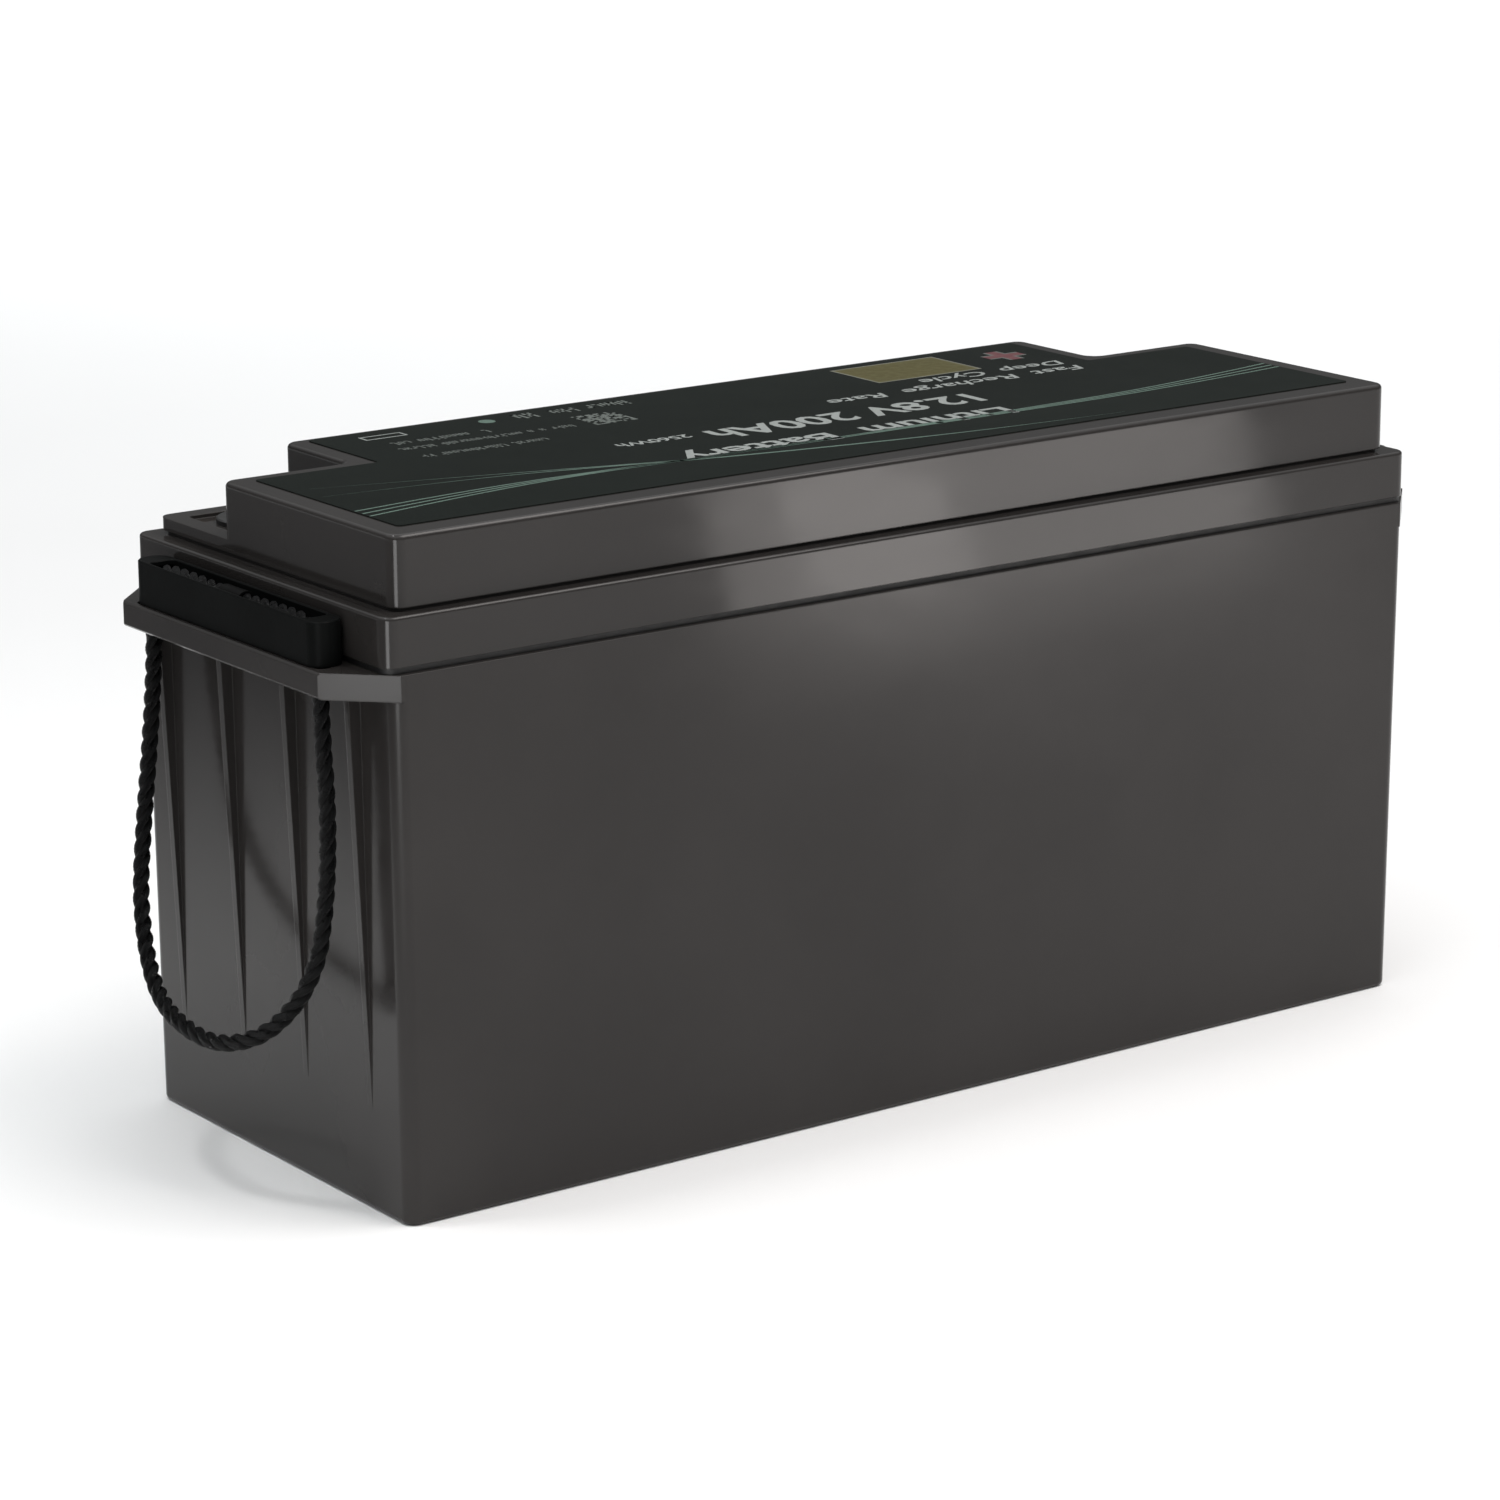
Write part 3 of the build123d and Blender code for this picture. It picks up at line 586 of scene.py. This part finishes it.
class Print:
    """Flat shapes of one ink on the label, gathered into one mesh."""

    def __init__(self, name, material):
        self.name = name
        self.material = material
        self.points = []
        self.faces = []

    def polygon(self, outline):
        """Adds one flat polygon, turned to face up."""
        start = len(self.points)
        ordered = outline if signed_area(outline) > 0 else outline[::-1]
        self.points += [(x, y, print_height) for x, y in ordered]
        self.faces.append(tuple(range(start, start + len(ordered))))

    def box(self, x0, x1, y0, y1):
        """Adds one rectangle."""
        self.polygon([(x0, y0), (x1, y0), (x1, y1), (x0, y1)])

    def frame(self, x0, x1, y0, y1, line):
        """Adds the outline of a rectangle."""
        self.box(x0, x1, y0, y0 + line)
        self.box(x0, x1, y1 - line, y1)
        self.box(x0, x0 + line, y0 + line, y1 - line)
        self.box(x1 - line, x1, y0 + line, y1 - line)

    def ribbon(self, guide, width, fade_in=0.0, fade_out=0.0):
        """Adds a thin line along a smooth guide, thinning away over a share of its length at either end."""
        thinnest = 0.05
        line = spline_line([(x, y, 0.0) for x, y in guide], ribbon_resolution)
        frames = line_frames(line)
        start = len(self.points)
        for i, (point, (tangent, _, _)) in enumerate(zip(line, frames)):
            share = i / (len(line) - 1)
            swell = min(1.0, share / fade_in if fade_in else 1.0)
            swell = min(swell, (1.0 - share) / fade_out if fade_out else 1.0)
            half = Vector((-tangent.y, tangent.x, 0.0)) * width * max(swell, thinnest) / 2
            for edge in (point + half, point - half):
                self.points.append((edge.x, edge.y, print_height))
        for i in range(len(line) - 1):
            a = start + 2 * i
            quad = (a, a + 1, a + 3, a + 2)
            area = signed_area([self.points[j] for j in quad])
            self.faces.append(quad if area > 0 else quad[::-1])

    def small_print(self, x_start, x_end, y_top, y_bottom, seed):
        """Adds a line of unreadable letter-like blocks that reads from +X to -X."""
        dice = random.Random(seed)
        space_share, short_share, single_stem_share = 0.16, 0.65, 0.4
        bar_places = (0.25, 0.5, 0.82)
        height = y_bottom - y_top
        pitch = height * 0.55
        width, stem = pitch * 0.75, pitch * 0.26
        bar_thickness = height * 0.18
        low_top = y_top + height * 0.25
        x = x_start
        while x - pitch > x_end:
            if dice.random() > space_share:
                top = y_top if dice.random() > short_share else low_top
                self.box(x - stem, x, top, y_bottom)
                if dice.random() > single_stem_share:
                    self.box(x - width, x - width + stem, low_top, y_bottom)
                bar = y_top + height * dice.choice(bar_places)
                self.box(x - width, x, bar, bar + bar_thickness)
            x -= pitch

    def lettering(self, text, x_start, x_end, baseline, height, weight=0.0, slant=0.0):
        """Adds a line of plain lettering that reads from +X to -X, fitted between two places."""
        capital_height = 0.729
        curve = bpy.data.curves.new("lettering", "FONT")
        curve.body = text
        curve.offset = weight
        curve.shear = slant
        curve.resolution_u = 3
        carrier = bpy.data.objects.new("lettering", curve)
        bpy.context.scene.collection.objects.link(carrier)
        bpy.context.view_layer.update()
        mesh = bpy.data.meshes.new_from_object(carrier)
        left = min(v.co.x for v in mesh.vertices)
        right = max(v.co.x for v in mesh.vertices)
        stretch = (x_start - x_end) / (right - left)
        rise = height / capital_height
        start = len(self.points)
        for vertex in mesh.vertices:
            x = x_start - (vertex.co.x - left) * stretch
            self.points.append((x, baseline - vertex.co.y * rise, print_height))
        for polygon in mesh.polygons:
            order = tuple(start + i for i in polygon.vertices)
            area = signed_area([self.points[i] for i in order])
            self.faces.append(order if area > 0 else order[::-1])
        bpy.data.meshes.remove(mesh)
        bpy.data.objects.remove(carrier)
        bpy.data.curves.remove(curve)

    def build(self):
        """Makes the gathered shapes one piece that rides on the case."""
        piece = add_mesh(self.name, self.points, self.faces, self.material)
        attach(piece, "case")


def print_lettering():
    """Plain rating and type lines in white."""
    ink = Print("label_lettering", ink_white)
    ink.lettering("Lithium  Battery", 0.0745, -0.0720, -0.0267, 0.0122, 0.022)
    ink.lettering("12.8V 200Ah", 0.0795, -0.0400, 0.0012, 0.0155, 0.022)
    ink.lettering("2560Wh", -0.0475, -0.0785, 0.0012, 0.0056, 0.02)
    ink.lettering("Fast  Recharge  Rate", 0.1510, 0.0300, 0.0215, 0.0078, 0.014, 0.2)
    ink.lettering("Deep  Cycle", 0.1510, 0.0825, 0.0335, 0.0078, 0.014, 0.2)
    ink.frame(-0.1445, -0.1270, 0.0607, 0.0667, 0.0008)
    ink.build()


def print_small_lines():
    """Small print and a code square near the -X end, as plain blocks."""
    ink = Print("label_small_print", ink_pale)
    ink.small_print(-0.0910, -0.1450, 0.0222, 0.0268, 3)
    ink.small_print(-0.0700, -0.1450, 0.0370, 0.0415, 5)
    ink.small_print(-0.1000, -0.1450, 0.0470, 0.0520, 8)
    ink.small_print(-0.0290, -0.0640, 0.0610, 0.0680, 13)
    ink.small_print(-0.0700, -0.0840, 0.0605, 0.0690, 21)
    code_x, code_y, code_side, code_cells = -0.0625, 0.0348, 0.018, 15
    blank_share = 0.45
    cell = code_side / code_cells
    inked = cell * 0.94
    dice = random.Random(34)
    for row in range(code_cells):
        for column in range(code_cells):
            if dice.random() > blank_share:
                x, y = code_x + column * cell, code_y + row * cell
                ink.box(x, x + inked, y, y + inked)
    ink.build()


def print_swooshes():
    """Two sweeps of thin pale green lines that cross left of the middle."""
    ink = Print("label_swooshes", ink_green)
    for step in (-1, 0, 1):
        spread_right, spread_left = step * 0.0042, step * 0.0048
        ink.ribbon(
            [
                (0.2105, -0.0240 + spread_right),
                (0.1500, -0.0335 + step * 0.0022),
                (0.0750, -0.0360 + step * 0.0014),
                (0.0000, -0.0368 + step * 0.0008),
                (-0.0700, -0.0366),
                (-0.1150, -0.0338 + step * 0.0010),
                (-0.1650, -0.0365 + step * 0.0030),
                (-0.2105, -0.0436 + spread_left),
            ],
            0.0011,
        )
    ink.ribbon(
        [
            (0.1050, -0.0615),
            (0.0600, -0.0590),
            (0.0100, -0.0530),
            (-0.0600, -0.0405),
            (-0.1050, -0.0280),
            (-0.1500, -0.0175),
            (-0.2080, -0.0125),
        ],
        0.0016,
        0.35,
        0.45,
    )
    ink.ribbon(
        [(-0.0600, -0.0400), (-0.1050, -0.0270), (-0.1450, -0.0150), (-0.2050, 0.0015)],
        0.0010,
        0.1,
        0.8,
    )
    ink.build()


def print_patch():
    """Plain gold patch in a cream frame, with the positive mark beside it and a small green mark."""
    x0, x1, y0, y1, line = 0.0680, 0.1175, 0.0375, 0.0687, 0.0010
    gold = Print("label_gold_patch", ink_gold)
    gold.box(x0 + line, x1 - line, y0 + line, y1 - line)
    gold.build()
    cream = Print("label_patch_frame", ink_cream)
    cream.frame(x0, x1, y0, y1, line)
    cream.build()
    plus_x, plus_y, arm, half = 0.1413, 0.0537, 0.0088, 0.0024
    rim = 0.0011
    red = Print("label_plus", ink_red)
    red.box(plus_x - arm, plus_x + arm, plus_y - half, plus_y + half)
    red.box(plus_x - half, plus_x + half, plus_y - arm, plus_y - half)
    red.box(plus_x - half, plus_x + half, plus_y + half, plus_y + arm)
    red.build()
    outline = Print("label_plus_rim", ink_pale)
    for x_sign in (-1, 1):
        for y_sign in (-1, 1):
            inner_x, inner_y = plus_x + x_sign * half, plus_y + y_sign * half
            outer_x, outer_y = plus_x + x_sign * arm, plus_y + y_sign * arm
            corner_x, corner_y = inner_x + x_sign * rim, inner_y + y_sign * rim
            outline.box(*sorted((inner_x, outer_x)), *sorted((inner_y, corner_y)))
            outline.box(*sorted((inner_x, corner_x)), *sorted((corner_y, outer_y)))
    outline.build()
    green = Print("label_green_mark", ink_green)
    mark_x, mark_y, mark_radius, mark_sides = -0.0910, 0.0645, 0.0032, 24
    turns = [tau * k / mark_sides for k in range(mark_sides)]
    green.polygon([(mark_x + mark_radius * cos(t), mark_y + mark_radius * sin(t)) for t in turns])
    green.build()


print_lettering()
print_small_lines()
print_swooshes()
print_patch()

# ---------------------------------------------------------------- studio

# The floor's band of painted shade lies across this direction, between these distances from the origin.
shade_band_direction = (-0.886, 0.464, 0.0)
painted_shade_grey = (0.20, 0.20, 0.205)
floor_fall_start = 0.34
floor_fall_end = 0.84
floor_recover_start = 1.0
floor_recover_end = 2.2
floor_reach = 14.0


def add_floor():
    """Wide plain pale floor with a soft band of painted shade on the left, which the end wall mirrors."""
    surface = Surface("studio_floor", Specular_IOR_Level=0.1)
    pale = surface.mix(surface.noise(2.0, 3.0), (0.86, 0.86, 0.86), (0.9, 0.9, 0.9))
    across = surface.add("ShaderNodeVectorMath", operation="DOT_PRODUCT")
    surface.feed(across.inputs[0], surface.place)
    across.inputs[1].default_value = shade_band_direction
    fall = surface.range(across.outputs["Value"], floor_fall_start, floor_fall_end)
    recover = surface.range(across.outputs["Value"], floor_recover_start, floor_recover_end)
    # The band darkens the floor colour: painted shade.
    grey = surface.math("SUBTRACT", fall, recover)
    surface.colour(surface.mix(grey, pale, painted_shade_grey))
    surface.roughness(surface.range(surface.noise(5.0), 0.3, 0.7, 0.75, 0.85))
    corners = [(x * floor_reach, y * floor_reach, 0) for x, y in ((-1, -1), (1, -1), (1, 1), (-1, 1))]
    floor = add_mesh("studio_floor", corners, [(0, 1, 2, 3)], surface.material)


def add_light(name, place, aim, size, power, colour=(1.0, 1.0, 1.0), spread=180.0):
    """Soft rectangular light at a place, turned to its aim, that the camera doesn't see itself."""
    data = bpy.data.lights.new(name, "AREA")
    data.shape = "RECTANGLE"
    data.size, data.size_y = size
    data.energy = power
    data.color = colour
    data.spread = radians(spread)
    light = bpy.data.objects.new(name, data)
    light.location = place
    light.rotation_euler = (Vector(aim) - Vector(place)).to_track_quat("-Z", "Y").to_euler()
    light.visible_camera = False
    bpy.context.scene.collection.objects.link(light)


def add_world():
    """Soft dim surround, brighter overhead."""
    low_rise, high_rise = 0.30, 0.85
    horizon_strength, zenith_strength = 0.13, 1.25
    world = bpy.data.worlds.new("studio")
    bpy.context.scene.world = world
    world.use_nodes = True
    nodes, links = world.node_tree.nodes, world.node_tree.links
    place = nodes.new("ShaderNodeTexCoord")
    axes = nodes.new("ShaderNodeSeparateXYZ")
    rise = nodes.new("ShaderNodeMapRange")
    rise.interpolation_type = "SMOOTHSTEP"
    rise.inputs["From Min"].default_value = low_rise
    rise.inputs["From Max"].default_value = high_rise
    rise.inputs["To Min"].default_value = horizon_strength
    rise.inputs["To Max"].default_value = zenith_strength
    links.new(place.outputs["Generated"], axes.inputs[0])
    links.new(axes.outputs["Z"], rise.inputs["Value"])
    links.new(rise.outputs["Result"], nodes["Background"].inputs["Strength"])
    nodes["Background"].inputs["Color"].default_value = (0.97, 0.99, 1.0, 1.0)


warm = (1.0, 0.945, 0.915)
add_floor()
add_world()
add_light("overhead", (0.55, -0.80, 1.7), (0.45, -0.60, 0.0), (1.2, 1.2), 20.0, warm)
add_light("left_fill", (-0.95, -0.35, 0.95), (-0.30, 0.0, 0.0), (0.6, 0.6), 0.3)
add_light("front_card", (0.45, -0.60, 0.068), (0.45, -0.08, 0.237), (0.34, 0.102), 0.33, warm)
add_light("front_card_core", (0.375, -0.595, 0.062), (0.375, -0.08, 0.235), (0.10, 0.085), 0.055, warm)
add_light("corner_card", (-0.78, -0.50, 0.10), (-0.23, -0.08, 0.19), (0.30, 0.20), 1.0)
add_light("backdrop", (2.1, 2.8, 3.5), (2.1, 2.8, 0.0), (2.2, 2.2), 24.0, spread=65.0)
add_light("left_pool", (-0.75, 0.25, 2.0), (-0.38, 0.15, 0.0), (0.3, 0.3), 0.5, spread=40.0)
bpy.context.scene.view_settings.view_transform = "Standard"
